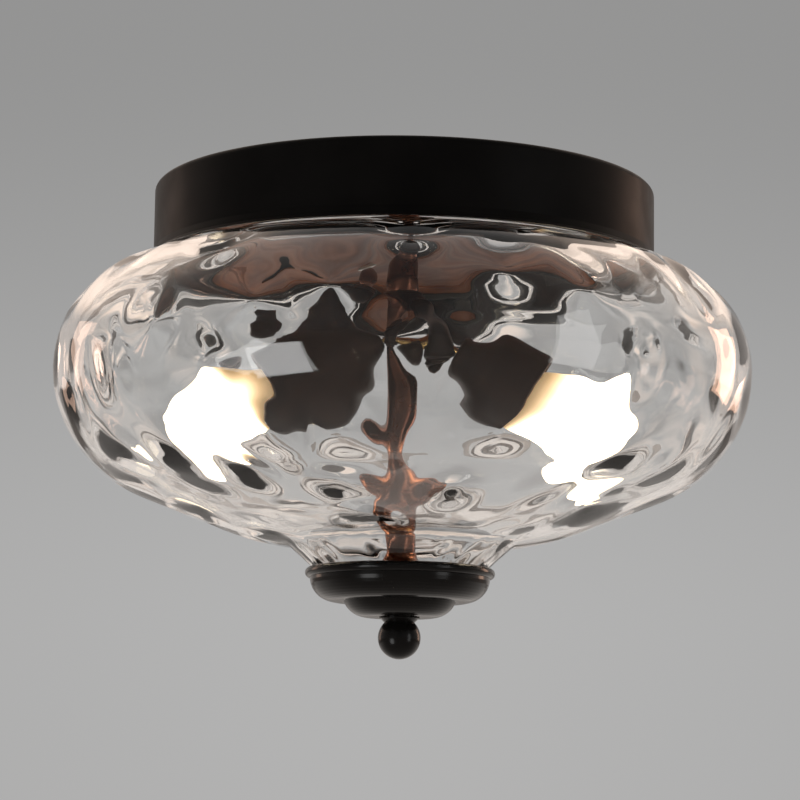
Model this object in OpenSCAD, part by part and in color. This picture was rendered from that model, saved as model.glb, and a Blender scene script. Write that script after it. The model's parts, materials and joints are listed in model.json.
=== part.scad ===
// Flush ceiling light: a spun steel canopy, a hammered glass bowl held up by a centre rod,
// a stepped bottom cup and a ball finial, with two lamps on a drooping cluster inside.
// The origin is on the ceiling plane at the centre of the canopy, and everything hangs below it.

/* [Canopy] */
// Outside diameter of the canopy wall
canopy_d = 216; // [205:1:232]
// Height of the canopy, from the ceiling to the lower hem
canopy_h = 33; // [30:0.5:45]
// Thickness of the canopy sheet
canopy_sheet = 1.2; // [0.8:0.1:2]
// How far the lower hem flares out past the wall
hem_flare = 2.2; // [0.5:0.1:3.5]
// Height of the flared hem
hem_h = 4.5; // [3:0.5:7]
// Radius of the turned edge between the top and the wall
canopy_edge_r = 2.5; // [1.6:0.1:6]
// Diameter of the flat plate at the bottom of the recess in the top
recess_d = 132; // [126:1:144]
// Depth of the recess, which leaves room for the wiring
recess_depth = 13; // [12:0.5:15]
// Horizontal run of the slope between the plate and the top
recess_slope = 6; // [3:0.5:9]

/* [Tray] */
// Thickness of the inner tray that closes the wiring off
tray_sheet = 1.2; // [0.8:0.1:2]
// Height of the spacer between the plate and the tray
tray_spacer_h = 5.6; // [4.5:0.1:8]
// Gap between the tray's edge and the canopy wall
tray_gap = 1; // [0.5:0.1:2]
// Radius of the raised ring pressed into the tray
tray_rib_r = 80; // [70:1:90]
// Height of the raised ring
tray_rib_h = 1.6; // [0.8:0.1:2.5]

/* [Mounting bar] */
// Length of the bar that is fixed to the outlet box
bar_l = 124; // [118:1:136]
// Width of the bar
bar_w = 20; // [16:1:24]
// Thickness of the bar
bar_t = 2; // [1.5:0.1:3]
// Distance between the centres of the two fixing slots
slot_spacing = 72; // [60:1:80]
// End-to-end length of a fixing slot
slot_l = 14; // [10:0.5:18]
// Width of a fixing slot
slot_w = 4.6; // [4:0.1:6]
// Distance between the two screws that hang the canopy on the bar
hang_spacing = 104; // [100:1:110]
// Thread diameter of those screws
hang_screw_d = 4; // [3:0.5:5]

/* [Glass bowl] */
// Diameter of the bowl at its widest
bowl_d = 299; // [280:1:320]
// Gap between the canopy's hem and the top of the bowl's shoulder
hem_gap = 1; // [0.8:0.1:3]
// Thickness of the glass
glass_wall = 3.2; // [2.5:0.1:3.7]
// Radius of the shoulder curve above the widest ring
shoulder_r = 45.5; // [43:0.5:48]
// Radius of the belly curve below the widest ring
belly_r = 56; // [50:0.5:60]
// Slope of the straight underside, in degrees
under_slope = 22; // [20:0.5:25]
// Radius of the long curve that flattens the underside
foot_sweep_r = 112; // [95:1:125]
// Distance from the axis where that long curve starts
foot_sweep_start = 80; // [78:0.5:85]
// Slope of the underside where it meets the neck, in degrees
foot_slope = 6; // [4:0.5:9]
// Radius of the hollow curve between the underside and the neck
neck_fillet = 4; // [2.5:0.5:6]
// Slope of the conical neck, in degrees
neck_slope = 42; // [38:0.5:48]
// Diameter of the bowl's open lower end
tail_d = 66; // [62:0.5:70]
// Radial gap between the bowl's collar and the canopy wall
collar_gap = 1.5; // [1:0.1:3]
// Radius of the hollow curve between the collar and the shoulder
collar_fillet = 3; // [2:0.5:5]
// Height of the soft ring between the bowl's rim and the tray
rim_gasket_h = 2.5; // [1.5:0.1:4]

/* [Bottom cup] */
// Thickness of the cup sheet
cup_wall = 1.4; // [1:0.1:2]
// Radius of the cup wall under its rolled rim
cup_r = 38.4; // [37.5:0.1:41]
// Radius of the rolled rim's section
cup_bead_r = 2.1; // [1.6:0.1:2.8]
// Radius of the upper tier's curve
cup_tier_r = 10.3; // [9.5:0.1:11.5]
// Distance from the axis of the lower tier's centre
cup_nose_x = 14; // [12:0.5:16]
// Radius of the lower tier's curve
cup_nose_r = 10.7; // [9.5:0.1:12]
// Drop of the lower tier's foot below the upper tier's foot
cup_nose_drop = 6.6; // [6:0.1:9]
// Height of the soft ring under the bowl's lower end
tail_gasket_h = 2.2; // [1.5:0.1:3]

/* [Finial] */
// Diameter of the ball
ball_d = 18.2; // [16:0.1:22]
// Diameter of the collar where the finial meets its washer
finial_collar_d = 16; // [14:0.1:18]
// Diameter of the waist between the collar and the ball
finial_waist_d = 12.8; // [12.4:0.1:15]
// Height of the collar down to the waist
finial_collar_h = 1.6; // [1.2:0.1:4]
// Thickness of the washer above the finial
washer_t = 0.6; // [0.5:0.1:1.5]
// Length of rod that is screwed into the finial
finial_grip = 10; // [7:0.5:11]

/* [Centre rod] */
// Outside diameter of the threaded pipe
pipe_d = 10; // [9:0.5:10.5]
// Bore of the threaded pipe
pipe_bore = 7.8; // [6:0.1:8]
// Outside diameter of the bronze sleeve over the pipe
sleeve_d = 13; // [12.5:0.5:16]
// Height of the flared nut at the foot of the sleeve
foot_nut_h = 6; // [4:0.5:9]
// Diameter of that nut's flange
foot_nut_d = 17.4; // [16:0.2:20]
// Gap between that nut and the floor plane of the bowl's lower end
foot_nut_lift = 5.8; // [4:0.2:8]
// Height of the hexagon nuts
nut_h = 3.5; // [2.5:0.1:4]
// Width across the corners of the hexagon nuts
nut_corner_d = 16.2; // [15:0.1:17]
// Thickness of the toothed washer under the upper nut
lock_washer_t = 0.8; // [0.5:0.1:1.2]

/* [Cluster] */
// Length of the sleeve between the tray's nut and the cluster body
upper_sleeve_l = 17; // [14:0.5:20]
// Outside diameter of the cluster body
hub_d = 26; // [25:0.5:30]
// Height of the cluster body between its two bosses
hub_h = 30; // [29:0.5:34]
// Wall of the cluster body
hub_wall = 2.2; // [1.8:0.1:2.4]
// Diameter of the bosses above and below the body
boss_d = 17; // [15:0.5:19]
// Height of the bosses
boss_h = 3.5; // [2.5:0.5:5]
// Distance from the top of the body to the point where the lamp axes meet
arm_drop = 12.5; // [12:0.5:14]
// Angle at which the lamp axes droop below level
droop = 30; // [28:0.5:31]

/* [Lamp holders] */
// Gap between the bulbs and the bowl's mouth, which has to pass them
mouth_gap = 0.8; // [0.5:0.1:2]
// Outside diameter of the holder
holder_d = 40; // [38:0.5:42]
// Thickness of the holder's metal
holder_sheet = 1.2; // [0.8:0.1:1.6]
// Radius of the holder cap's domed edge
cap_dome_r = 10; // [8:0.5:11]
// Length of the straight holder cover
cover_l = 34; // [30:0.5:38]
// Diameter of the porcelain insert
insert_d = 34.6; // [33:0.1:35]
// Distance from the back of the holder to the porcelain insert
insert_inset = 7.5; // [6.5:0.5:8.5]
// Length of the porcelain insert's back wall
insert_back = 9; // [7:0.5:10]
// Length of the porcelain insert's socket
insert_l = 21.5; // [19:0.5:24]

/* [Bulbs] */
// Diameter of the frosted globe
globe_d = 45; // [43:0.5:45.5]
// Length of the bulb, from its contact to the end of the globe
bulb_l = 76; // [74:0.5:76.5]
// Crest diameter of the screw base
base_d = 26.2; // [25.5:0.1:26.6]
// Pitch of the screw base
base_pitch = 3.63; // [3:0.01:4]
// Length of the screw base, from its contact to the globe's neck
base_l = 26; // [24:0.5:28]
// Thickness of the globe's glass
globe_wall = 1; // [0.6:0.1:1.6]

/* [Wiring] */
// Width of one pole of the terminal block
pole_w = 9; // [8:0.5:10]
// Depth of the terminal block
block_w = 17; // [15:0.5:19]
// Height of the terminal block
block_h = 10; // [9:0.5:11]
// Distance of the terminal block's centre from the rod
block_y = 44; // [40:0.5:48]
// Diameter of the lamp wires
wire_d = 1.5; // [1:0.1:1.7]

/* [Hidden] */
$fn = 96;

// Clearances: a thread that fits its pipe, a welded seam, a hole that a rod passes, and a loose fit
thread_gap = 0.05;
seam_gap = 0.05;
pass_gap = 0.3;
loose_gap = 0.4;

// Canopy, tray and pipe stack, from the ceiling down
canopy_r = canopy_d / 2;
canopy_in_r = canopy_r - canopy_sheet;
recess_r = recess_d / 2;
plate_top = -recess_depth;
plate_bottom = plate_top - canopy_sheet;
tray_top = plate_bottom - tray_spacer_h;
tray_bottom = tray_top - tray_sheet;
rim_z = tray_bottom - rim_gasket_h;
pipe_r = pipe_d / 2;
upper_nut_z = plate_top + lock_washer_t;
nipple_top = upper_nut_z + nut_h + 1.2;
lower_nut_z = tray_bottom - nut_h;
hub_top = lower_nut_z - upper_sleeve_l;
hub_body_top = hub_top - boss_h;
hub_floor = hub_body_top - hub_h;
arm_z = hub_body_top - arm_drop;
cap_plate_h = 4;
hub_bottom = hub_floor - boss_h;
nipple_grip = 7;

// Bowl, whose outline is written for any depth w below its outer surface
bowl_r = bowl_d / 2;
collar_r = canopy_in_r - collar_gap;
shoulder_x = bowl_r - shoulder_r;
belly_x = bowl_r - belly_r;
equator_z = -canopy_h - hem_gap - shoulder_r;
fillet_x = collar_r + collar_fillet;
fillet_dz = sqrt(pow(shoulder_r + collar_fillet, 2) - pow(fillet_x - shoulder_x, 2));
fillet_z = equator_z + fillet_dz;
fillet_turn = atan2(fillet_dz, fillet_x - shoulder_x);
cone_top_x = belly_x + belly_r * sin(under_slope);
cone_top_z = equator_z - belly_r * cos(under_slope);
sweep_top_z = cone_top_z - (cone_top_x - foot_sweep_start) * tan(under_slope);
sweep_x = foot_sweep_start - foot_sweep_r * sin(under_slope);
sweep_z = sweep_top_z + foot_sweep_r * cos(under_slope);
foot_x = sweep_x + foot_sweep_r * sin(foot_slope) + neck_fillet * sin(foot_slope);
foot_z = sweep_z - foot_sweep_r * cos(foot_slope) - neck_fillet * cos(foot_slope);
neck_top_x = foot_x - neck_fillet * sin(neck_slope);
neck_top_z = foot_z + neck_fillet * cos(neck_slope);
tail_r = tail_d / 2;
tail_z = neck_top_z - (neck_top_x - tail_r) * tan(neck_slope);
tail_in_r = tail_r - glass_wall / sin(neck_slope);
collar_in_r = collar_r - glass_wall;

// Cup, finial and rod, from the bowl's lower end down
cup_seat_gap = 0.2;
cup_rim_z = neck_top_z - (cup_bead_r + cup_seat_gap + (neck_top_x - cup_r) * sin(neck_slope))
    / cos(neck_slope);
cup_top_z = cup_rim_z - cup_bead_r + 0.3;
tier_x = cup_r - cup_tier_r;
tier_foot_z = cup_top_z - cup_tier_r;
nose_foot_z = tier_foot_z - cup_nose_drop;
nose_z = nose_foot_z + cup_nose_r;
step_x = cup_nose_x + sqrt(pow(cup_nose_r, 2) - pow(nose_z - tier_foot_z, 2));
gasket_z = tail_z - tail_gasket_h;
washer_z = nose_foot_z - washer_t;
waist_z = washer_z - finial_collar_h;
ball_r = ball_d / 2;
ball_z = waist_z - sqrt(pow(ball_r, 2) - pow(finial_waist_d / 2, 2));
rod_end = washer_z - finial_grip;
foot_nut_z = tail_z + foot_nut_lift;
foot_nut_top = foot_nut_z + foot_nut_h;

// Lamps, as distances along the drooping lamp axis from the rod
holder_r = holder_d / 2;
globe_r = globe_d / 2;
globe_c = (collar_in_r - mouth_gap - globe_r) / cos(droop);
bulb_start = globe_c + globe_r - bulb_l;
base_end = bulb_start + base_l;
base_r = base_d / 2;
contact_t = 1.1;
insert_floor = bulb_start - contact_t - loose_gap;
insert_start = insert_floor - insert_back;
insert_end = insert_floor + insert_l;
holder_back = insert_start - insert_inset;
cap_edge = holder_back + cap_dome_r;
cover_end = cap_edge + cover_l;
skirt_l = 4;
skirt_r = holder_r - holder_sheet - 0.1;
thread_depth = 0.85;
thread_steps = 6;
thread_turns = 5;
base_tip_h = 4.5;
thread_start = bulb_start + base_tip_h + 1.5;
shell_in_r = base_r + 0.25;
shell_t = 0.5;
tip_r = 3.6;
side_pipe_start = (hub_d / 2 - hub_wall) / cos(droop) - 3;
side_pipe_end = holder_back + 4;

// Terminal block on the plate
poles = 3;
block_l = poles * pole_w + 2;
pole_z = plate_top + block_h / 2 - 0.4;
insert_bore_r = 2;
insert_tube_r = 2.9;
earth_x = -34;
earth_y = 30;
earth_head_r = 4;
earth_head_h = 2.4;
earth_shank_r = 2;

// Lamp wires: from the block, over the pipe's top, down its bore and out along a lamp axis.
// The route is for the right lamp, and its points are x, y, z.
wire_r = wire_d / 2;
wire_sides = 8;
wire_steps = 3;
wire_dx = 0.85;
wire_in_pipe = 1.35;
wire_hole_y = 5.6;
wire_hole_r = wire_r + 0.65;
block_face = block_y - block_w / 2;
wire_low = nipple_top + wire_r + 0.4;
wire_high = wire_low + wire_d + 0.7;
arm = [cos(droop), 0, -sin(droop)];

function arc(x, z, r, from, to, steps) =
    [for (i = [0:steps]) let (a = from + (to - from) * i / steps) [x + r * cos(a), z + r * sin(a)]];

// One side of the bowl's wall, from the rim to the open lower end, w below the outer surface
function bowl_line(w) = concat(
    [[collar_r - w, rim_z]],
    arc(fillet_x, fillet_z, collar_fillet + w, 180, 180 + fillet_turn, 6),
    arc(shoulder_x, equator_z, shoulder_r - w, fillet_turn - 6, 0, 14),
    arc(belly_x, equator_z, belly_r - w, -6, under_slope - 90, 12),
    arc(sweep_x, sweep_z, foot_sweep_r - w, under_slope - 90, foot_slope - 90, 5),
    arc(foot_x, foot_z, neck_fillet + w, 90 + foot_slope, 90 + neck_slope, 5),
    [[tail_r - w / sin(neck_slope), tail_z]]
);

// One side of the cup's wall, from under the rim to the foot, w inside the outer surface
function cup_line(w) = concat(
    [[cup_r - w, cup_rim_z]],
    arc(tier_x, cup_top_z, cup_tier_r - w, 0, -90, 10),
    [[step_x - w, tier_foot_z + w]],
    arc(cup_nose_x, nose_z, cup_nose_r - w, -asin((nose_z - tier_foot_z) / cup_nose_r) - 6, -90, 8),
    [[pipe_r + pass_gap, nose_foot_z + w]]
);

function unit(v) = v / norm(v);
function reversed(list) = [for (i = [len(list) - 1:-1:0]) list[i]];

// A smooth line through the points of a route
function blend(a, b, c, d, t) =
    0.5 * (2 * b + (c - a) * t + (2 * a - 5 * b + 4 * c - d) * t * t
        + (3 * b - a - 3 * c + d) * t * t * t);
function smooth(p) = concat(
    [for (i = [0:len(p) - 2], k = [0:wire_steps - 1])
        blend(p[max(i - 1, 0)], p[i], p[i + 1], p[min(i + 2, len(p) - 1)], k / wire_steps)],
    [p[len(p) - 1]]
);
function tangents(p) =
    [for (i = [0:len(p) - 1]) unit(p[min(i + 1, len(p) - 1)] - p[max(i - 1, 0)])];
// Side directions that turn as little as possible from ring to ring
function sides(t) =
    [for (i = 0, n = unit(cross(t[0], [0.3, 0.1, 1])); i < len(t);
        i = i + 1, n = i < len(t) ? unit(n - (n * t[i]) * t[i]) : n) n];

// A round tube of radius r along a smooth line of points
module swept(route, r) {
    p = smooth(route);
    t = tangents(p);
    n = sides(t);
    m = wire_sides;
    last = (len(p) - 1) * m;
    points = [for (i = [0:len(p) - 1], k = [0:m - 1])
        p[i] + r * (cos(360 * k / m) * n[i] + sin(360 * k / m) * cross(t[i], n[i]))];
    skin = [for (i = [0:len(p) - 2], k = [0:m - 1]) let (a = i * m + k, b = i * m + (k + 1) % m)
        each [[a, a + m, b], [b, a + m, b + m]]];
    ends = [for (k = [1:m - 2]) each [[0, k, k + 1], [last, last + k + 1, last + k]]];
    polyhedron(points, concat(skin, ends));
}

// Places a piece on a lamp axis, its own +Z pointing away from the rod. side is 1 or -1.
module on_arm(side) {
    translate([0, 0, arm_z]) rotate([0, side * (90 + droop), 0]) children();
}

module ring(outer, inner, bottom, top) {
    difference() {
        translate([0, 0, bottom]) cylinder(r = outer, h = top - bottom);
        translate([0, 0, bottom - 1]) cylinder(r = inner, h = top - bottom + 2);
    }
}

module hole(r, x, y, bottom, top) {
    translate([x, y, bottom - 1]) cylinder(r = r, h = top - bottom + 2);
}

module slot(x, length, width, bottom, top) {
    run = (length - width) / 2;
    for (s = [-1, 1]) hole(width / 2, x + s * run, 0, bottom, top);
    translate([x - run, -width / 2, bottom - 1]) cube([2 * run, width, top - bottom + 2]);
}

// Spun ring: wall, turned edge, top and the slope down to the plate
module canopy_pan() {
    edge = canopy_edge_r;
    in_edge = edge - canopy_sheet;
    slope_lap = 0.8;
    hem_z = -canopy_h;
    outline = concat(
        [[recess_r, plate_top], [recess_r + recess_slope, 0]],
        arc(canopy_r - edge, -edge, edge, 90, 0, 5),
        [[canopy_r, hem_z + hem_h], [canopy_r + hem_flare / 3, hem_z + hem_h / 3],
            [canopy_r + hem_flare, hem_z], [canopy_r + hem_flare - canopy_sheet, hem_z],
            [canopy_in_r + hem_flare / 3 - 0.2, hem_z + hem_h / 3], [canopy_in_r, hem_z + hem_h]],
        arc(canopy_r - edge, -edge, in_edge, 0, 90, 5),
        [[recess_r + recess_slope + slope_lap, -canopy_sheet], [recess_r + slope_lap, plate_bottom],
            [recess_r, plate_bottom]]
    );
    color([0.03, 0.03, 0.03]) rotate_extrude() polygon(outline);
}

// Flat plate welded into the foot of the slope, which carries the pipe and the wiring
module canopy_plate() {
    color([0.03, 0.03, 0.03]) difference() {
        translate([0, 0, plate_bottom]) cylinder(r = recess_r - seam_gap, h = canopy_sheet);
        hole(pipe_r + pass_gap, 0, 0, plate_bottom, plate_top);
        for (s = [-1, 1]) hole(hang_screw_d / 2 + pass_gap, s * hang_spacing / 2, 0, plate_bottom, plate_top);
        hole(earth_shank_r + thread_gap, earth_x, earth_y, plate_bottom, plate_top);
    }
}

module mounting_bar() {
    end_r = bar_w / 2;
    run = bar_l / 2 - end_r;
    color([0.72, 0.73, 0.74]) difference() {
        union() {
            translate([-run, -end_r, -bar_t]) cube([2 * run, bar_w, bar_t]);
            for (s = [-1, 1]) translate([s * run, 0, -bar_t]) cylinder(r = end_r, h = bar_t);
        }
        for (s = [-1, 1]) {
            slot(s * slot_spacing / 2, slot_l, slot_w, -bar_t, 0);
            hole(hang_screw_d / 2 + thread_gap, s * hang_spacing / 2, 0, -bar_t, 0);
        }
    }
}

// Pan-head screw, its head under z = seat and its shank rising to the given top
module pan_screw(d, seat, top, head_d, head_h) {
    difference() {
        union() {
            translate([0, 0, seat]) cylinder(d = d, h = top - seat);
            translate([0, 0, seat - head_h]) cylinder(d1 = head_d * 0.78, d2 = head_d, h = head_h);
        }
        for (a = [0, 90]) rotate(a) translate([-head_d / 3.2, -0.45, seat - head_h - 1])
            cube([head_d / 1.6, 0.9, 1 + head_h * 0.5]);
    }
}

module hang_screws() {
    color([0.72, 0.73, 0.74]) for (s = [-1, 1]) translate([s * hang_spacing / 2, 0, 0])
        pan_screw(hang_screw_d, plate_bottom, -0.3, hang_screw_d * 2, 2.4);
}

module terminal_block() {
    color([0.93, 0.92, 0.88]) difference() {
        translate([-block_l / 2, block_y - block_w / 2, plate_top]) cube([block_l, block_w, block_h]);
        for (i = [-1:1]) {
            translate([i * pole_w, block_y, pole_z]) rotate([90, 0, 0])
                cylinder(r = insert_tube_r, h = block_w + 2, center = true);
            for (s = [-1, 1]) translate([i * pole_w, block_y + s * block_w / 4, pole_z])
                cylinder(r = 2.1, h = block_h);
        }
        for (i = [-0.5, 0.5]) translate([i * pole_w - 0.6, block_face - 1, plate_top + block_h - 2])
            cube([1.2, block_w + 2, 3]);
    }
}

module terminal_inserts() {
    color([0.8, 0.62, 0.3]) for (i = [-1:1]) translate([i * pole_w, block_y, pole_z])
        difference() {
            rotate([90, 0, 0]) cylinder(r = insert_tube_r - 0.05, h = block_w - 1, center = true);
            rotate([90, 0, 0]) cylinder(r = insert_bore_r, h = block_w + 2, center = true);
            for (s = [-1, 1]) translate([0, s * block_w / 4, 0]) cylinder(r = 1.35, h = block_h);
        }
}

module terminal_screws() {
    top = plate_top + block_h - 0.8;
    color([0.75, 0.72, 0.62]) for (i = [-1:1], s = [-1, 1])
        translate([i * pole_w, block_y + s * block_w / 4, 0]) difference() {
            union() {
                translate([0, 0, pole_z + 1.2]) cylinder(r = 1.3, h = top - pole_z - 1.2);
                translate([0, 0, top - 1.6]) cylinder(r = 2, h = 1.6);
            }
            translate([-2.5, -0.3, top - 0.7]) cube([5, 0.6, 2]);
        }
}

module earth_screw() {
    color([0.8, 0.62, 0.3]) translate([earth_x, earth_y, 0]) difference() {
        union() {
            translate([0, 0, plate_bottom - 2]) cylinder(r = earth_shank_r, h = canopy_sheet + 3);
            translate([0, 0, plate_top + wire_d]) cylinder(r = earth_head_r, h = earth_head_h);
            translate([0, 0, plate_top]) cylinder(r = earth_head_r * 0.65, h = wire_d + 0.2);
        }
        translate([-earth_head_r, -0.5, plate_top + wire_d + earth_head_h - 1.1])
            cube([2 * earth_head_r, 1, 2]);
    }
}

module earth_wire() {
    z = plate_top + wire_r + 0.2;
    color([0.55, 0.7, 0.15]) swept([
        [-pole_w, block_face + 3, pole_z], [-pole_w, block_face - 1, pole_z],
        [-pole_w - 2, block_face - 5, pole_z - 0.6], [-pole_w - 8, block_face - 8, (pole_z + z) / 2],
        [-pole_w - 14, earth_y - 1, z],
        [earth_x + earth_head_r * 0.65 + wire_r + 0.1, earth_y - 1, z]
    ], wire_r);
}

// Route of one lamp wire: pole is the pole's place along X, side the lamp, lane the wire's side in Y
function lamp_route(pole, side, lane, z) = [
    [pole + side * wire_dx, block_face + 3, pole_z],
    [pole + side * wire_dx, block_face - 2, pole_z],
    [pole + side * wire_dx, block_face - 6, (pole_z + z) / 2],
    [pole * 0.75 + side * wire_in_pipe, block_face - 11, z],
    [side * wire_in_pipe, lane * wire_in_pipe + 8, z],
    [side * wire_in_pipe, lane * wire_in_pipe + 2.6, z],
    [side * wire_in_pipe, lane * wire_in_pipe + 0.5, z - 1.6],
    [side * wire_in_pipe, lane * wire_in_pipe, nipple_top - 3.6],
    [side * wire_in_pipe, lane * wire_in_pipe, hub_top],
    [side * wire_in_pipe, lane * wire_in_pipe, arm_z + 6.5],
    [side * 3.2, lane * wire_in_pipe, arm_z + 0.8],
    each [for (t = [side_pipe_start + 1.5, side_pipe_end - 0.8])
        [side * t * arm[0], lane * wire_in_pipe, arm_z + t * arm[2]]],
    each [for (t = [insert_start - 0.5, insert_start + 4])
        [side * t * arm[0], lane * wire_hole_y, arm_z + t * arm[2]]]
];

module live_wires() {
    color([0.12, 0.1, 0.09]) for (s = [-1, 1]) swept(lamp_route(0, s, 1, wire_low), wire_r);
}

module neutral_wires() {
    color([0.88, 0.87, 0.84]) for (s = [-1, 1]) swept(lamp_route(pole_w, s, -1, wire_high), wire_r);
}

module tray_spacer() {
    color([0.72, 0.73, 0.74]) ring(pipe_r + 4, pipe_r + pass_gap, tray_top, plate_bottom);
}

module tray() {
    edge = canopy_in_r - tray_gap;
    rib = tray_rib_h;
    outline = [
        [0, tray_top], [tray_rib_r - 2 * rib, tray_top], [tray_rib_r - rib, tray_top + rib],
        [tray_rib_r + rib, tray_top + rib], [tray_rib_r + 2 * rib, tray_top], [edge, tray_top],
        [edge, tray_bottom], [tray_rib_r + 2 * rib - 0.5, tray_bottom],
        [tray_rib_r + rib - 0.5, tray_bottom + rib], [tray_rib_r - rib + 0.5, tray_bottom + rib],
        [tray_rib_r - 2 * rib + 0.5, tray_bottom], [0, tray_bottom]
    ];
    color([0.16, 0.1, 0.07]) difference() {
        rotate_extrude() polygon(outline);
        hole(pipe_r + pass_gap, 0, 0, tray_bottom, tray_top);
        for (s = [-1, 1]) hole(hang_screw_d + 1.2, s * hang_spacing / 2, 0, tray_bottom, tray_top);
    }
}

module lock_washer() {
    teeth = 12;
    color([0.72, 0.73, 0.74]) difference() {
        translate([0, 0, plate_top]) cylinder(r = pipe_r + 3.6, h = lock_washer_t);
        hole(pipe_r + pass_gap, 0, 0, plate_top, upper_nut_z);
        for (i = [0:teeth - 1]) rotate(i * 360 / teeth) translate([pipe_r + 2.2, -0.5, plate_top - 1])
            cube([3, 1, lock_washer_t + 2]);
    }
}

module hex_nut(bottom) {
    difference() {
        translate([0, 0, bottom]) cylinder(d = nut_corner_d, h = nut_h, $fn = 6);
        hole(pipe_r + thread_gap, 0, 0, bottom, bottom + nut_h);
    }
}

module hex_nuts() {
    color([0.72, 0.73, 0.74]) {
        hex_nut(upper_nut_z);
        hex_nut(lower_nut_z);
    }
}

module upper_nipple() {
    color([0.75, 0.68, 0.5]) ring(pipe_r, pipe_bore / 2, hub_top - nipple_grip, nipple_top);
}

module hub_body() {
    r = hub_d / 2;
    in_r = r - hub_wall;
    boss_r = boss_d / 2;
    outline = [
        [0, hub_top], [boss_r - 1, hub_top], [boss_r, hub_top - 1], [boss_r, hub_body_top + 1.5],
        [boss_r + 1.5, hub_body_top], [r - 3, hub_body_top], [r - 0.9, hub_body_top - 0.9],
        [r, hub_body_top - 3], [r, hub_floor + cap_plate_h], [in_r, hub_floor + cap_plate_h],
        [in_r, hub_body_top - hub_wall], [0, hub_body_top - hub_wall]
    ];
    color([0.2, 0.12, 0.08]) difference() {
        rotate_extrude() polygon(outline);
        hole(pipe_r + thread_gap, 0, 0, hub_body_top - hub_wall, hub_top);
        for (s = [-1, 1]) on_arm(s) cylinder(r = pipe_r + thread_gap, h = 2 * r);
    }
}

module hub_cap() {
    r = hub_d / 2;
    boss_r = boss_d / 2;
    spigot_r = r - hub_wall - 0.1;
    top = hub_floor + cap_plate_h;
    outline = [
        [0, top + 3], [spigot_r, top + 3], [spigot_r, top], [r, top], [r, hub_floor + 3],
        [r - 0.9, hub_floor + 0.9], [r - 3, hub_floor], [boss_r + 1, hub_floor],
        [boss_r, hub_floor - 1], [boss_r, hub_bottom + 1], [boss_r - 1, hub_bottom], [0, hub_bottom]
    ];
    dish_r = spigot_r - 2;
    color([0.2, 0.12, 0.08]) difference() {
        rotate_extrude() polygon(outline);
        hole(pipe_r + thread_gap, 0, 0, hub_bottom, top + 3);
        translate([0, 0, top]) cylinder(r = dish_r, h = 4);
        for (s = [-1, 1]) on_arm(s) cylinder(r = pipe_r + pass_gap, h = 2 * r);
    }
}

module side_nipples() {
    color([0.75, 0.68, 0.5]) for (s = [-1, 1]) on_arm(s)
        ring(pipe_r, pipe_bore / 2, side_pipe_start, side_pipe_end);
}

module rod() {
    top = hub_floor + cap_plate_h - 0.5;
    color([0.75, 0.68, 0.5]) ring(pipe_r, pipe_bore / 2, rod_end, top);
}

module upper_sleeve() {
    color([0.3, 0.17, 0.1]) ring(sleeve_d / 2, pipe_r + pass_gap, hub_top, lower_nut_z);
}

module rod_sleeve() {
    color([0.3, 0.17, 0.1]) ring(sleeve_d / 2, pipe_r + pass_gap, foot_nut_top, hub_bottom);
}

module foot_nut() {
    r = foot_nut_d / 2;
    top_r = sleeve_d / 2 + 0.4;
    flange_h = 1.5;
    color([0.3, 0.17, 0.1]) difference() {
        rotate_extrude() polygon([
            [0, foot_nut_top], [top_r, foot_nut_top], [top_r + 0.3, foot_nut_top - foot_nut_h * 0.4],
            [r - 0.5, foot_nut_z + flange_h + 0.6], [r, foot_nut_z + flange_h],
            [r, foot_nut_z + 0.4], [r - 0.4, foot_nut_z], [0, foot_nut_z]
        ]);
        hole(pipe_r + thread_gap, 0, 0, foot_nut_z, foot_nut_top);
    }
}

// Domed cap of a lamp holder, with a skirt that fits inside the cover
module holder_cap(side) {
    x = holder_r - cap_dome_r;
    in_dome = cap_dome_r - holder_sheet;
    skirt_in_r = skirt_r - holder_sheet;
    outline = concat(
        [[0, holder_back]],
        arc(x, cap_edge, cap_dome_r, -90, 0, 8),
        [[skirt_r, cap_edge], [skirt_r, cap_edge + skirt_l], [skirt_in_r, cap_edge + skirt_l]],
        arc(x, cap_edge, in_dome, -acos((skirt_in_r - x) / in_dome), -90, 6),
        [[0, holder_back + holder_sheet]]
    );
    color([0.16, 0.1, 0.07]) on_arm(side) difference() {
        rotate_extrude() polygon(outline);
        hole(pipe_r + thread_gap, 0, 0, holder_back, holder_back + holder_sheet);
    }
}

// Straight cover of a lamp holder, with a rolled front edge
module holder_cover(side) {
    bead = holder_sheet * 0.9;
    color([0.16, 0.1, 0.07]) on_arm(side) union() {
        ring(holder_r, holder_r - holder_sheet, cap_edge + 0.02, cover_end - bead);
        translate([0, 0, cover_end - bead]) rotate_extrude()
            translate([holder_r - bead, 0]) circle(r = bead, $fn = 24);
    }
}

module socket_insert(side) {
    color([0.93, 0.92, 0.88]) on_arm(side) difference() {
        translate([0, 0, insert_start]) cylinder(d = insert_d, h = insert_end - insert_start);
        translate([0, 0, insert_floor]) cylinder(r = shell_in_r + thread_depth + shell_t + 0.05, h = insert_l + 1);
        for (s = [-1, 1]) hole(wire_hole_r, 0, s * wire_hole_y, insert_start - 1, insert_start + 4);
        translate([0, 0, insert_start - 1]) cylinder(r = wire_hole_y - wire_hole_r - 1, h = 4);
    }
}

// Ringed line of a screw thread's section, from start to start + turns * pitch
function thread_line(r, depth, start) =
    [for (i = [0:thread_turns * thread_steps])
        [r + depth * (1 - cos(360 * i / thread_steps)) / 2, start + base_pitch * i / thread_steps]];

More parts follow.
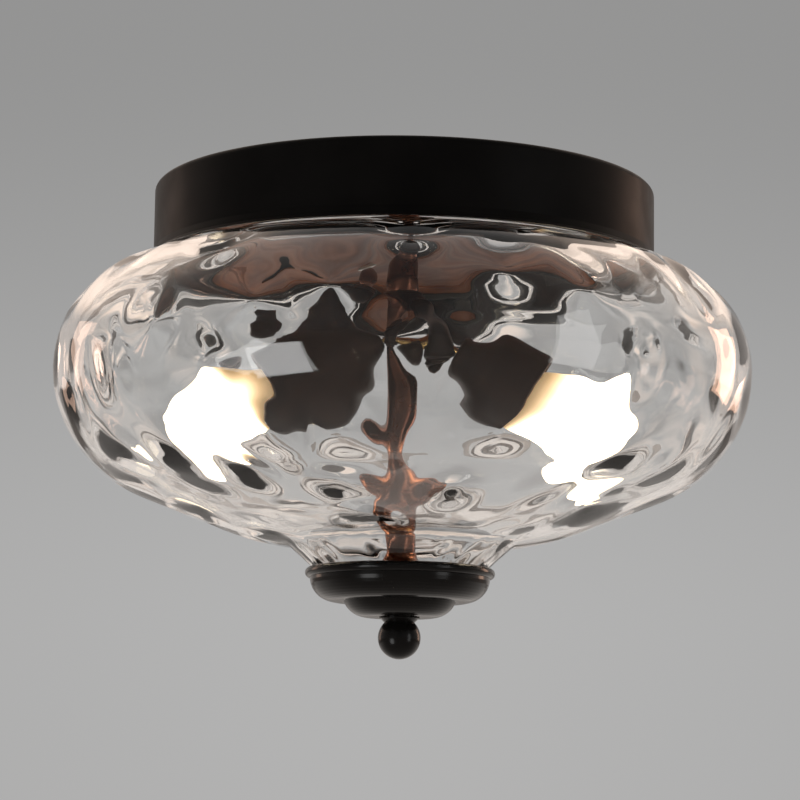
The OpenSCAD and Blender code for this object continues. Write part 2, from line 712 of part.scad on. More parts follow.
module socket_shell(side) {
    low = insert_floor;
    high = insert_end - 1;
    start = high - thread_turns * base_pitch - 0.5;
    inner = concat([[shell_in_r, low]], thread_line(shell_in_r, thread_depth, start),
        [[shell_in_r, high]]);
    outer = [for (p = reversed(inner)) [p[0] + shell_t, p[1]]];
    flange = shell_in_r - 4;
    color([0.8, 0.62, 0.3]) on_arm(side) rotate_extrude() polygon(concat(
        [[flange, low], [flange, low + shell_t], [shell_in_r, low + shell_t]],
        thread_line(shell_in_r, thread_depth, start),
        [[shell_in_r, high]],
        outer
    ));
}

module socket_contact(side) {
    color([0.8, 0.62, 0.3]) on_arm(side) union() {
        translate([0, 0, insert_floor]) cylinder(r = 4.2, h = contact_t - 0.3);
        translate([0, 0, insert_floor]) cylinder(r = 2.6, h = contact_t);
    }
}

module bulb_tip(side) {
    color([0.75, 0.68, 0.5]) on_arm(side) rotate_extrude() polygon([
        [0, bulb_start], [tip_r - 0.8, bulb_start], [tip_r, bulb_start + 0.7],
        [tip_r + 1.4, bulb_start + 1.2], [base_r - 3.6, bulb_start + base_tip_h - 0.4],
        [base_r - 3.6, bulb_start + base_tip_h + 1], [0, bulb_start + base_tip_h + 1]
    ]);
}

module bulb_base(side) {
    root_r = base_r - thread_depth;
    wall = 0.9;
    low = bulb_start + base_tip_h;
    thread_end = thread_start + thread_turns * base_pitch;
    color([0.75, 0.75, 0.73]) on_arm(side) rotate_extrude() polygon(concat(
        [[base_r - 3.5, low - 0.4], [root_r - 0.4, low + 0.6]],
        [for (p = thread_line(root_r, thread_depth, thread_start)) if (p[1] < base_end - 2) p],
        [[root_r, base_end - 1.8], [base_r, base_end - 1.2], [base_r, base_end],
            [root_r - wall, base_end], [root_r - wall, low + 2], [base_r - 3.5, low + 1.1]]
    ));
}

// Frosted globe: a ball whose neck is the cone from the base that touches the ball
module bulb_globe(side) {
    neck_r = base_r - 0.6;
    reach = norm([neck_r, globe_c - base_end]);
    out_angle = acos(globe_r / reach) - atan2(globe_c - base_end, neck_r);
    in_r = globe_r - globe_wall;
    color([1, 0.9, 0.72]) on_arm(side) rotate_extrude() polygon(concat(
        [[neck_r, base_end]],
        arc(0, globe_c, globe_r, out_angle, 90, 22),
        arc(0, globe_c, in_r, 90, out_angle, 22),
        [[neck_r - globe_wall / cos(out_angle), base_end]]
    ));
}

module glass_bowl() {
    color([0.8, 0.85, 0.87, 0.35]) rotate_extrude() polygon(concat(bowl_line(0), reversed(bowl_line(glass_wall))));
}

module rim_gasket() {
    color([0.1, 0.1, 0.1]) ring(collar_r, collar_in_r, rim_z, tray_bottom);
}

module tail_gasket() {
    outer = tier_x + sqrt(pow(cup_tier_r - cup_wall, 2) - pow(cup_top_z - gasket_z, 2)) - 0.05;
    color([0.85, 0.85, 0.83]) ring(outer, tail_in_r - 1, gasket_z, tail_z);
}

module bottom_cup() {
    color([0.03, 0.03, 0.03]) union() {
        rotate_extrude() polygon(concat(cup_line(0), reversed(cup_line(cup_wall))));
        translate([0, 0, cup_rim_z]) rotate_extrude()
            translate([cup_r, 0]) circle(r = cup_bead_r, $fn = 32);
    }
}

module finial_washer() {
    color([0.03, 0.03, 0.03]) ring(finial_collar_d / 2 + 0.6, pipe_r + pass_gap, washer_z, nose_foot_z);
}

module finial() {
    bore_depth = finial_grip + 1;
    color([0.03, 0.03, 0.03]) difference() {
        union() {
            translate([0, 0, ball_z]) sphere(r = ball_r);
            translate([0, 0, waist_z]) cylinder(d1 = finial_waist_d, d2 = finial_collar_d, h = finial_collar_h);
        }
        translate([0, 0, washer_z - bore_depth]) cylinder(r = pipe_r + thread_gap, h = bore_depth + ball_r);
    }
}

canopy_pan();
canopy_plate();
mounting_bar();
hang_screws();
terminal_block();
terminal_inserts();
terminal_screws();
earth_screw();
earth_wire();
live_wires();
neutral_wires();
tray_spacer();
tray();
lock_washer();
hex_nuts();
upper_nipple();
hub_body();
hub_cap();
side_nipples();
upper_sleeve();
rod();
rod_sleeve();
foot_nut();
holder_cap(-1);  // holder_cap_left
holder_cover(-1);  // holder_cover_left
socket_insert(-1);  // socket_insert_left
socket_shell(-1);  // socket_shell_left
socket_contact(-1);  // socket_contact_left
holder_cap(1);  // holder_cap_right
holder_cover(1);  // holder_cover_right
socket_insert(1);  // socket_insert_right
socket_shell(1);  // socket_shell_right
socket_contact(1);  // socket_contact_right
bulb_globe(-1);  // bulb_globe_left
bulb_base(-1);  // bulb_base_left
bulb_tip(-1);  // bulb_tip_left
bulb_globe(1);  // bulb_globe_right
bulb_base(1);  // bulb_base_right
bulb_tip(1);  // bulb_tip_right
glass_bowl();
rim_gasket();
tail_gasket();
bottom_cup();
finial_washer();
finial();
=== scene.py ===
# %% [markdown]
# A flush ceiling light with a hammered glass bowl
#
# This lesson dresses a finished construction model of a ceiling light. The construction already
# has every pipe, nut and lamp holder at its real size. What it lacks is what the eye looks for:
# hammered glass, real screw threads, paint, metal and porcelain with a surface, and a lit bulb.
# Each step first says what the real piece is and how it could be made, and then makes it.

# %% Load the construction model
import json
import math

import bmesh
import bpy
from mathutils import Matrix, Vector


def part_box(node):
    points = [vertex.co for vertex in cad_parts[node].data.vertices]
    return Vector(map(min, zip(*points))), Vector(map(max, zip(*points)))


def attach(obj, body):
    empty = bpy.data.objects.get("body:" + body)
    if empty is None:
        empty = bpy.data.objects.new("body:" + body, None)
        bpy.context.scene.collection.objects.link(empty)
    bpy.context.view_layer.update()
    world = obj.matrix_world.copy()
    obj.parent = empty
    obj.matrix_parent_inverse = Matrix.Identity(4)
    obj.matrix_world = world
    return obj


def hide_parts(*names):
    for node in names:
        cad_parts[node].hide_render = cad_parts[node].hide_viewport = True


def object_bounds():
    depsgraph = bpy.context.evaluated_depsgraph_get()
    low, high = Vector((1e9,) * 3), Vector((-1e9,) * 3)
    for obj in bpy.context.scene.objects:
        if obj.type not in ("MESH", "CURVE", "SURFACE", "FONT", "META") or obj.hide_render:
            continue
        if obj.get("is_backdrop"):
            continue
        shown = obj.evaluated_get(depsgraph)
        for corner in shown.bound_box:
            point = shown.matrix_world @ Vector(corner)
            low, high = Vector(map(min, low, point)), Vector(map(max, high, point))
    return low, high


MM = 0.001
QUARTER = math.pi / 2
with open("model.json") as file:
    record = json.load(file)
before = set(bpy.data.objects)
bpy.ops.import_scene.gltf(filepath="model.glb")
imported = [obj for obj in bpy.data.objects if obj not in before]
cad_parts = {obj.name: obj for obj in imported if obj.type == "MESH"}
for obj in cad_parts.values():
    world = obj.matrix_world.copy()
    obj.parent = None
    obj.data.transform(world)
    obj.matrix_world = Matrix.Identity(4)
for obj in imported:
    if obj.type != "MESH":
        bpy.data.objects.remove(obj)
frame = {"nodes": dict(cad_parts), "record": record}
scene = bpy.context.scene
cad_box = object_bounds()

# %% [markdown]
# Node trees are drawings of formulas, and a script that makes them one link at a time soon hides
# the formula. Here each node output becomes a Field, which can be added and multiplied like a
# number. A tree then reads like the sum it stands for, in shaders and in Geometry Nodes alike.


# %% Fields: node maths that reads like a formula
class Field:
    """One output of a node, which takes part in formulas."""

    def __init__(self, socket):
        self.socket = socket

    def maths(self, operation, *others):
        inputs = dict(enumerate((self, *others)))
        return read(add(self.socket.id_data, "ShaderNodeMath", inputs, operation=operation))

    def __add__(self, other):
        return self.maths("ADD", other)

    def __sub__(self, other):
        return self.maths("SUBTRACT", other)

    def __mul__(self, other):
        return self.maths("MULTIPLY", other)

    def __truediv__(self, other):
        return self.maths("DIVIDE", other)

    def __pow__(self, other):
        return self.maths("POWER", other)

    def rest(self):
        """What this field leaves of one."""
        return self * -1.0 + 1.0

    def clamped(self):
        """This field, kept between zero and one."""
        return self.maths("MAXIMUM", 0.0).maths("MINIMUM", 1.0)

    def axis(self, name):
        """The X, Y or Z of a vector."""
        return read(add(self.socket.id_data, "ShaderNodeSeparateXYZ", {0: self}), name)

    def ramp(self, low, high, start=0.0, end=1.0, smooth=True):
        """Goes from start to end while this field goes from low to high."""
        inputs = {"Value": self, "From Min": low, "From Max": high, "To Min": start, "To Max": end}
        kind = "SMOOTHSTEP" if smooth else "LINEAR"
        return read(add(self.socket.id_data, "ShaderNodeMapRange", inputs, interpolation_type=kind))


def pick(sockets, key):
    """The socket in use with that name or place in the list."""
    if isinstance(key, int):
        return sockets[key]
    return next(s for s in sockets if s.enabled and s.name == key)


def add(tree, kind, inputs=(), **settings):
    """Adds a node, sets its settings, and gives each input a value, a colour or a Field."""
    made = tree.nodes.new(kind)
    for name, value in settings.items():
        setattr(made, name, value)
    for key, value in dict(inputs).items():
        socket = pick(made.inputs, key)
        if isinstance(value, Field):
            tree.links.new(value.socket, socket)
        else:
            socket.default_value = value
    return made


def read(node, key=0):
    """One output of a node, as a Field."""
    return Field(pick(node.outputs, key))


# %% Fields that are vectors or colours
def vector(tree, x, y, z):
    """A vector from three numbers or Fields."""
    return read(add(tree, "ShaderNodeCombineXYZ", {"X": x, "Y": y, "Z": z}))


def vector_maths(tree, operation, *items, out="Vector"):
    """A vector sum or product. Operations that end in one number have out="Value"."""
    return read(add(tree, "ShaderNodeVectorMath", dict(enumerate(items)), operation=operation), out)


def scaled(tree, item, factor):
    """A vector or a colour times a number."""
    inputs = {"Vector": item, "Scale": factor}
    return read(add(tree, "ShaderNodeVectorMath", inputs, operation="SCALE"))


def mix_colours(tree, share, first, second):
    """The first colour where share is 0, the second where it is 1, and a blend between."""
    inputs = {"Factor": share, "A": first, "B": second}
    return read(add(tree, "ShaderNodeMix", inputs, data_type="RGBA"), "Result")


# %% [markdown]
# A Geometry Nodes tree is a small machine: named inputs for its sizes go in, a mesh comes out. The
# machines below start from an outline, which is a chain of edges, or from nothing at all. Their
# result is kept as a plain mesh, so nothing is left to evaluate when the light moves.


# %% Start and end a Geometry Nodes tree
def new_tree(name, inputs):
    """An empty Geometry Nodes tree with named inputs, and a dict of those inputs as Fields."""
    tree = bpy.data.node_groups.new(name, "GeometryNodeTree")
    tree.interface.new_socket("Geometry", in_out="INPUT", socket_type="NodeSocketGeometry")
    for label, default in inputs.items():
        kind = "NodeSocketInt" if isinstance(default, int) else "NodeSocketFloat"
        socket = tree.interface.new_socket(label, in_out="INPUT", socket_type=kind)
        socket.default_value = default
    tree.interface.new_socket("Geometry", in_out="OUTPUT", socket_type="NodeSocketGeometry")
    source = tree.nodes.new("NodeGroupInput")
    return tree, {s.name: Field(s) for s in source.outputs if s.name}


def end_tree(tree, geometry, material):
    """Realizes instances, sets the material and joins the result to the tree's output."""
    real = read(add(tree, "GeometryNodeRealizeInstances", {"Geometry": geometry}))
    done = read(add(tree, "GeometryNodeSetMaterial", {"Geometry": real, "Material": material}))
    smooth = read(add(tree, "GeometryNodeSetShadeSmooth", {"Geometry": done}))
    output = tree.nodes.new("NodeGroupOutput")
    tree.links.new(smooth.socket, output.inputs[0])


# %% Run a tree or a modifier, and keep what it makes
def tell(piece):
    """Prints a piece's size. Its volume is below zero if its mesh is inside out."""
    work = bmesh.new()
    work.from_mesh(piece.data)
    volume = work.calc_volume(signed=True) / MM**3
    work.free()
    print(piece.name, "faces:", len(piece.data.polygons), "mm3:", round(volume, 1))


def keep_as_mesh(piece):
    """Makes what a piece's modifiers show its plain mesh, and takes the modifiers off."""
    graph = bpy.context.evaluated_depsgraph_get()
    made = bpy.data.meshes.new_from_object(piece.evaluated_get(graph), depsgraph=graph)
    former = piece.data
    piece.modifiers.clear()
    piece.data = made
    bpy.data.meshes.remove(former)
    made.name = piece.name


def grow(name, tree, values, line=()):
    """Runs a tree on a closed chain of points, or on nothing, and keeps what it makes."""
    mesh = bpy.data.meshes.new(name)
    edges = [(i, (i + 1) % len(line)) for i in range(len(line))]
    mesh.from_pydata(line, edges, [])
    piece = bpy.data.objects.new(name, mesh)
    scene.collection.objects.link(piece)
    modifier = piece.modifiers.new("build", "NODES")
    modifier.node_group = tree
    for item in tree.interface.items_tree:
        if item.item_type == "SOCKET" and item.in_out == "INPUT" and item.name in values:
            modifier[item.identifier] = values[item.name]
    keep_as_mesh(piece)
    tell(piece)
    return piece


# %% [markdown]
# Finishes come next, because every later step uses them. Each real surface has some variation that
# a single colour lacks: paint has a faint orange peel, plated steel has cloudy patches, and bronze
# lacquer is thinner in places. All patterns read Object coordinates, which are metres on every
# piece, so a grain of half a millimetre is the same on a screw and on the canopy.


# %% A finish from a base colour, clouds and grain
def object_noise(tree, scale, detail=2.0):
    """Soft noise in the piece's own coordinates, from 0 to 1, with scale in patches a metre."""
    place = read(add(tree, "ShaderNodeTexCoord"), "Object")
    inputs = {"Vector": place, "Scale": scale, "Detail": detail}
    return read(add(tree, "ShaderNodeTexNoise", inputs), "Fac")


FINISHES = {}
WEAR_TO_CLOUDS = 2.3
CLOUD_EDGE = (0.35, 0.65)
WEAR_EDGE = (0.3, 0.7)


def add_finish(name, first, second, clouds, rough, grain, depth, **fixed):
    """Adds a finish whose colour drifts between two shades, with a rough range and a fine grain.

    clouds and grain are patches a metre, rough is a lowest and highest roughness, and depth is the
    height of the grain in metres. fixed holds the shader's plain values.
    """
    material = bpy.data.materials.new(name)
    material.use_nodes = True
    tree = material.node_tree
    shader = tree.nodes["Principled BSDF"]
    cloud = object_noise(tree, clouds, detail=3.0)
    tint = mix_colours(tree, cloud.ramp(*CLOUD_EDGE), (*first, 1), (*second, 1))
    tree.links.new(tint.socket, shader.inputs["Base Color"])
    wear = object_noise(tree, clouds * WEAR_TO_CLOUDS, detail=4.0)
    tree.links.new(wear.ramp(*WEAR_EDGE, *rough).socket, shader.inputs["Roughness"])
    bump = {"Height": object_noise(tree, grain), "Distance": depth, "Strength": 1.0}
    tree.links.new(read(add(tree, "ShaderNodeBump", bump)).socket, shader.inputs["Normal"])
    for label, value in fixed.items():
        shader.inputs[label.replace("_", " ")].default_value = value
    FINISHES[name] = material


# %% [markdown]
# The finishes of this light: satin black paint on the spun pieces, bronze lacquer inside, a redder
# and barer bronze on the sleeve, zinc on the hidden steel, brass on pipes and contacts, nickel on
# the bulb's screw base, glazed porcelain, rubber, and three colours of wire. What makes one of them
# a metal is mainly its Metallic value.

# %% The finishes, one for each material slot
add_finish(
    "satin_black", (0.0055, 0.005, 0.0047), (0.0075, 0.0068, 0.0064), clouds=30,
    rough=(0.36, 0.44), grain=900, depth=0.003 * MM, Specular_IOR_Level=0.05,
)
add_finish(
    "dark_bronze", (0.105, 0.033, 0.012), (0.21, 0.076, 0.032), clouds=45,
    rough=(0.34, 0.46), grain=260, depth=0.002 * MM, Metallic=0.15, Specular_IOR_Level=0.2,
)
add_finish(
    "copper_bronze", (0.12, 0.045, 0.025), (0.2, 0.08, 0.045), clouds=60,
    rough=(0.18, 0.3), grain=260, depth=0.002 * MM, Metallic=0.85,
)
add_finish(
    "zinc_steel", (0.52, 0.53, 0.53), (0.68, 0.67, 0.62), clouds=160,
    rough=(0.28, 0.45), grain=1500, depth=0.008 * MM, Metallic=1.0,
)
add_finish(
    "brass", (0.72, 0.5, 0.2), (0.6, 0.38, 0.14), clouds=110,
    rough=(0.22, 0.4), grain=1600, depth=0.006 * MM, Metallic=1.0,
)
add_finish(
    "nickel", (0.72, 0.7, 0.66), (0.62, 0.6, 0.55), clouds=120,
    rough=(0.15, 0.3), grain=1400, depth=0.005 * MM, Metallic=1.0,
)
add_finish(
    "porcelain", (0.82, 0.79, 0.72), (0.88, 0.86, 0.81), clouds=70,
    rough=(0.1, 0.2), grain=350, depth=0.03 * MM, Coat_Weight=0.6, Coat_Roughness=0.06,
)
add_finish(
    "black_rubber", (0.02, 0.02, 0.02), (0.035, 0.034, 0.033), clouds=90,
    rough=(0.6, 0.8), grain=2200, depth=0.03 * MM,
)
add_finish(
    "earth_insulation", (0.32, 0.5, 0.05), (0.62, 0.6, 0.06), clouds=260,
    rough=(0.35, 0.45), grain=900, depth=0.01 * MM,
)
add_finish(
    "black_insulation", (0.02, 0.019, 0.018), (0.03, 0.028, 0.027), clouds=120,
    rough=(0.35, 0.5), grain=900, depth=0.01 * MM,
)
add_finish(
    "white_insulation", (0.78, 0.76, 0.7), (0.84, 0.82, 0.78), clouds=120,
    rough=(0.35, 0.5), grain=900, depth=0.01 * MM,
)
print("finishes:", len(FINISHES))

# %% [markdown]
# One spray of paint never looks the same everywhere. The small turned cup is sprayed close up, so
# it is wetter and shinier than the wide canopy. The lamp holders hang in shade under the tray, and
# that shade is painted into their bronze as a darker base colour. A height in Object coordinates
# tells these pieces apart.

# %% Change a finish below a height
FADE = 8 * MM
CUP_TOP = -150 * MM
HOLDER_TOP = -46 * MM


def change_below(name, label, level, share):
    """Multiplies one of a finish's values by share on everything under a height."""
    tree = FINISHES[name].node_tree
    socket = tree.nodes["Principled BSDF"].inputs[label]
    height = read(add(tree, "ShaderNodeTexCoord"), "Object").axis("Z")
    factor = height.ramp(level, level + FADE, share, 1.0)
    if not socket.is_linked:
        changed = factor * socket.default_value
    elif socket.type == "RGBA":
        changed = scaled(tree, Field(socket.links[0].from_socket), factor)
    else:
        changed = factor * Field(socket.links[0].from_socket)
    tree.links.new(changed.socket, socket)
    print(name, "has its", label, "times", share, "below mm", round(level / MM))


change_below("satin_black", "Roughness", CUP_TOP, 0.45)
change_below("satin_black", "Specular IOR Level", CUP_TOP, 4.0)
# Painted shade: the bronze's base colour is darkened below the tray, where the lamp holders hang
change_below("dark_bronze", "Base Color", HOLDER_TOP, 0.14)

# %% [markdown]
# Clear glass is one shader with Transmission at 1. Its whole look comes from what it bends, so the
# detail belongs in the mesh and not in the material. The bulb's frosted glass is the opposite: it
# scatters so much that only its glow shows. The glow is strongest round the middle of the globe. It
# falls off to the tip, and more to the screw base, where it also turns orange, as on a real bulb.

# %% Clear glass, and frosted glass that is lit from inside
LAMP_TILT = math.radians(30)
LAMP_Z = -57.5 * MM
GLOW_RISES = (60 * MM, 88 * MM)
GLOW_FALLS = (84 * MM, 110 * MM)
GLOW_AT_BASE = 0.15
GLOW_AT_TIP = 0.3
GLOW_STRENGTH = 8.0
WHITE_FROM = (0.02, 0.4)
DEEP_ORANGE = (1.0, 0.62, 0.26, 1)
WARM_WHITE = (1.0, 0.84, 0.6, 1)


def glass(name, colour, roughness):
    """Adds a material for glass to the finishes, and gives its shader."""
    material = bpy.data.materials.new(name)
    material.use_nodes = True
    shader = material.node_tree.nodes["Principled BSDF"]
    shader.inputs["Base Color"].default_value = colour
    shader.inputs["Roughness"].default_value = roughness
    FINISHES[name] = material
    return shader


def clear_glass():
    shader = glass("clear_glass", (0.985, 0.985, 0.98, 1), 0.0)
    shader.inputs["IOR"].default_value = 1.5
    shader.inputs["Transmission Weight"].default_value = 1.0


def frosted_glass():
    """Glows by how far out a place is along the lamp's own axis."""
    shader = glass("frosted_glass", (0.9, 0.86, 0.78, 1), 0.45)
    tree = shader.id_data
    place = read(add(tree, "ShaderNodeTexCoord"), "Object")
    sideways = place.axis("X").maths("ABSOLUTE") * math.cos(LAMP_TILT)
    along = sideways - (place.axis("Z") - LAMP_Z) * math.sin(LAMP_TILT)
    rising = along.ramp(*GLOW_RISES, GLOW_AT_BASE, 1.0) ** 2.0
    glow = rising * along.ramp(*GLOW_FALLS, 1.0, GLOW_AT_TIP)
    tint = mix_colours(tree, glow.ramp(*WHITE_FROM), DEEP_ORANGE, WARM_WHITE)
    tree.links.new(tint.socket, shader.inputs["Emission Color"])
    tree.links.new((glow * GLOW_STRENGTH).socket, shader.inputs["Emission Strength"])


clear_glass()
frosted_glass()
print("finishes with glass:", len(FINISHES))

# %% [markdown]
# The construction's own pieces keep their shape and get a finish. Which finish goes on which piece
# is already in the model's record, so a loop can dress them all. Where a later step makes a better
# piece, it takes the construction piece's place, with the same finish and on the same body.

# %% Dress the construction's pieces
BODIES = frame["record"]["behaviour"]["bodies"]
BODY_OF = {node: body for body, nodes in BODIES.items() for node in nodes}
SLOT_OF = {entry["node"]: entry["material_slot"] for entry in frame["record"]["subparts"]}

for node, slot in SLOT_OF.items():
    materials = frame["nodes"][node].data.materials
    materials.clear()
    materials.append(FINISHES[slot])
print("pieces dressed:", len(SLOT_OF))


def stand_for(piece, node):
    """Lets a made piece take the place of a construction piece."""
    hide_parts(node)
    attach(piece, BODY_OF[node])


# %% [markdown]
# The bowl's outline is a few arcs that run into each other: a collar inside the canopy, a shoulder,
# a belly, a long flat underside and a short conical neck. The arcs are written once for any depth
# below the outer surface, so the inner wall is the same outline 3.2 mm deeper.

# %% The outline of the bowl
bowl_low, bowl_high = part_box("glass_bowl")
BOWL_R = bowl_high.x
RIM_Z = bowl_high.z
TAIL_Z = bowl_low.z
GLASS = 3.2 * MM
COLLAR_R = 105.3 * MM
SHOULDER_R = 45.5 * MM
BELLY_R = 56 * MM
EQUATOR_Z = -79.5 * MM
COLLAR_FILLET = 3 * MM
UNDER_SLOPE = math.radians(22)
SWEEP_R = 112 * MM
SWEEP_START = 80 * MM
FOOT_SLOPE = math.radians(6)
NECK_FILLET = 4 * MM
NECK_SLOPE = math.radians(42)
TAIL_R = 33 * MM
PAST_SEAM = 0.1


def arc(x, z, radius, start, end, steps):
    """Points on an arc, as radius from the axis and height."""
    turns = [start + (end - start) * i / steps for i in range(steps + 1)]
    return [(x + radius * math.cos(t), z + radius * math.sin(t)) for t in turns]


def bowl_line(depth):
    """The bowl's wall from its rim to its lower end, depth below the outer surface.

    The shoulder and the belly start PAST_SEAM radians on, so that no point of an arc comes twice.
    """
    shoulder_x = BOWL_R - SHOULDER_R
    belly_x = BOWL_R - BELLY_R
    fillet_x = COLLAR_R + COLLAR_FILLET
    fillet_dz = math.sqrt((SHOULDER_R + COLLAR_FILLET) ** 2 - (fillet_x - shoulder_x) ** 2)
    turn = math.atan2(fillet_dz, fillet_x - shoulder_x)
    cone_x = belly_x + BELLY_R * math.sin(UNDER_SLOPE)
    cone_z = EQUATOR_Z - BELLY_R * math.cos(UNDER_SLOPE)
    under_z = cone_z - (cone_x - SWEEP_START) * math.tan(UNDER_SLOPE)
    sweep_x = SWEEP_START - SWEEP_R * math.sin(UNDER_SLOPE)
    sweep_z = under_z + SWEEP_R * math.cos(UNDER_SLOPE)
    foot_x = sweep_x + (SWEEP_R + NECK_FILLET) * math.sin(FOOT_SLOPE)
    foot_z = sweep_z - (SWEEP_R + NECK_FILLET) * math.cos(FOOT_SLOPE)
    under = UNDER_SLOPE - QUARTER
    foot = FOOT_SLOPE - QUARTER
    return [
        (COLLAR_R - depth, RIM_Z),
        *arc(fillet_x, EQUATOR_Z + fillet_dz, COLLAR_FILLET + depth, math.pi, math.pi + turn, 8),
        *arc(shoulder_x, EQUATOR_Z, SHOULDER_R - depth, turn - PAST_SEAM, 0, 24),
        *arc(belly_x, EQUATOR_Z, BELLY_R - depth, -PAST_SEAM, under, 24),
        *arc(sweep_x, sweep_z, SWEEP_R - depth, under, foot, 10),
        *arc(foot_x, foot_z, NECK_FILLET + depth, QUARTER + FOOT_SLOPE, QUARTER + NECK_SLOPE, 8),
        (TAIL_R - depth / math.sin(NECK_SLOPE), TAIL_Z),
    ]


def length_of(line):
    return sum(math.dist(a, b) for a, b in zip(line, line[1:]))


outer_line = bowl_line(0)
inner_line = bowl_line(GLASS)[::-1]
print("outline of the bowl, mm:", round(length_of(outer_line) / MM, 1))

# %% [markdown]
# Two kinds of piece here are walls round the axis: the bowl and every threaded tube. A tree makes
# such a wall from a flat grid. One side of the grid becomes the turn round the axis, the other runs
# along the outline, and the two edges that meet are welded.


# %% Nodes that wrap a grid round the axis
def unit_grid(tree, around, rows):
    """A flat grid, and Fields for its turn round the axis and its share of the way along."""
    size = {"Size X": 1.0, "Size Y": 1.0, "Vertices X": around, "Vertices Y": rows}
    grid = read(add(tree, "GeometryNodeMeshGrid", size), "Mesh")
    place = read(add(tree, "GeometryNodeInputPosition"))
    return grid, (place.axis("X") + 0.5) * math.tau, place.axis("Y") + 0.5


def wrap(tree, grid, turn, radius, height, weld):
    """Puts each point of a grid at its turn, radius and height, and welds what then meets."""
    place = vector(tree, radius * turn.maths("COSINE"), radius * turn.maths("SINE"), height)
    moved = read(add(tree, "GeometryNodeSetPosition", {"Geometry": grid, "Position": place}))
    return read(add(tree, "GeometryNodeMergeByDistance", {"Geometry": moved, "Distance": weld}))


def double_wall(tree, outline, around, rows, outer_rows, outer_share):
    """A closed wall whose attribute outer is 1 on the outer surface and 0 on the inner one."""
    grid, turn, share = unit_grid(tree, around, rows)
    border = outer_rows / (rows - 1.0)
    on_outer = share.ramp(0.0, border, 0.0, outer_share, smooth=False)
    on_inner = share.ramp(border, 1.0, 0.0, outer_share.rest(), smooth=False)
    chain = read(add(tree, "GeometryNodeMeshToCurve", {"Mesh": outline}))
    along = {"Curves": chain, "Factor": on_outer + on_inner}
    sample = add(tree, "GeometryNodeSampleCurve", along, mode="FACTOR", use_all_curves=True)
    point = read(sample, "Position")
    marks = {"Geometry": grid, "Name": "outer", "Value": share.maths("LESS_THAN", border)}
    kind = {"data_type": "FLOAT", "domain": "POINT"}
    marked = read(add(tree, "GeometryNodeStoreNamedAttribute", marks, **kind))
    closed = wrap(tree, marked, turn, point.axis("X"), point.axis("Z"), weld=0.02 * MM)
    return read(add(tree, "GeometryNodeFlipFaces", {"Mesh": closed}))


# %% [markdown]
# Hammered glass is blown into a mould whose wall is covered with low bumps. Each bump leaves a
# dish, which is a weak lens, and the eye sees the room broken up in all of them. A bump map can't
# bend light that way, so the dishes are real geometry here: Geometry Nodes scatter points over the
# wall at an even spacing and press an oval dish into the glass round each one.


# %% Nodes that scatter dishes over a wall and press them in
class Dishes:
    """Oval dishes that are spread evenly over the part of the wall where a field is 1."""

    CROWDING = 6.0
    SIZES = (0.85, 1.0)
    WIDTHS = (0.82, 1.08)

    def __init__(self, tree, wall, where, spacing, seed):
        scatter = {
            "Mesh": wall,
            "Selection": where.maths("GREATER_THAN", 0.5),
            "Distance Min": spacing,
            "Density Max": spacing**-2.0 * self.CROWDING,
            "Seed": seed,
        }
        kind = "GeometryNodeDistributePointsOnFaces"
        points = read(add(tree, kind, scatter, distribute_method="POISSON"), "Points")
        place = read(add(tree, "GeometryNodeInputPosition"))
        self.tree = tree
        self.seed = seed
        nearest = {"Geometry": points}
        self.nearest = read(add(tree, "GeometryNodeSampleNearest", nearest, domain="POINT"))
        at_nearest = {"Geometry": points, "Value": place, "Index": self.nearest}
        reading = {"data_type": "FLOAT_VECTOR", "domain": "POINT"}
        centre = read(add(tree, "GeometryNodeSampleIndex", at_nearest, **reading))
        offset = vector_maths(tree, "SUBTRACT", place, centre)
        sideways = vector_maths(tree, "CROSS_PRODUCT", (0.0, 0.0, 1.0), centre)
        level = vector_maths(tree, "NORMALIZE", sideways)
        across = vector_maths(tree, "DOT_PRODUCT", offset, level, out="Value")
        whole = vector_maths(tree, "DOT_PRODUCT", offset, offset, out="Value")
        self.across_squared = across * across
        self.up_squared = whole - self.across_squared

    def random(self, low, high, salt):
        """A number that is the same all over one dish."""
        inputs = {"Min": low, "Max": high, "ID": self.nearest, "Seed": self.seed + salt}
        kind = "FunctionNodeRandomValue"
        return read(add(self.tree, kind, inputs, data_type="FLOAT"), "Value")

    def depth(self, reach, depth, shallow, salt):
        """How deep the dishes are here. reach is their radius, shallow the least share of depth."""
        size = self.random(*self.SIZES, salt) * reach
        wide = self.random(*self.WIDTHS, salt + 1.0)
        stretched = self.across_squared / (wide * wide) + self.up_squared * wide * wide
        dish = (stretched / (size * size)).rest().maths("MAXIMUM", 0.0)
        return dish * dish * self.random(shallow, 1.0, salt + 2.0) * depth


# %% [markdown]
# On this bowl each wide dish has a small deeper eye in its middle, and fine dents cover the neck.
# The inner wall never touches the mould: it has only a soft ripple, and the glass is up to 2 mm
# thicker there than in the construction. Nothing is pushed outwards, so the bowl stays inside its
# own construction. The rim and the lower end stay smooth, because other pieces seat on them.

# %% The hammered bowl's tree
BOWL_INPUTS = {
    "Around": 440, "Rows": 208, "Outer Rows": 134, "Outer Share": 0.5,
    "Spacing": 30 * MM, "Reach": 0.66, "Dish": 2.4 * MM, "Eye Reach": 7 * MM, "Eye": 1.1 * MM,
    "Ripple Spacing": 29 * MM, "Ripple": 1.5 * MM, "Thicker": 2.0 * MM,
    "Dent Spacing": 9 * MM, "Dent Reach": 0.6, "Dent": 0.9 * MM, "Seed": 52.0,
}
NECK_TO_BODY = (38 * MM, 56 * MM)
BODY_TO_SHOULDER = (-64 * MM, -44 * MM)
RIM_TO_BODY = (-31 * MM, -37 * MM)
TAIL_TO_NECK = (-165 * MM, -160 * MM)
SHOULDER_BOOST = 1.25
DENTS_ON_BODY = 0.06


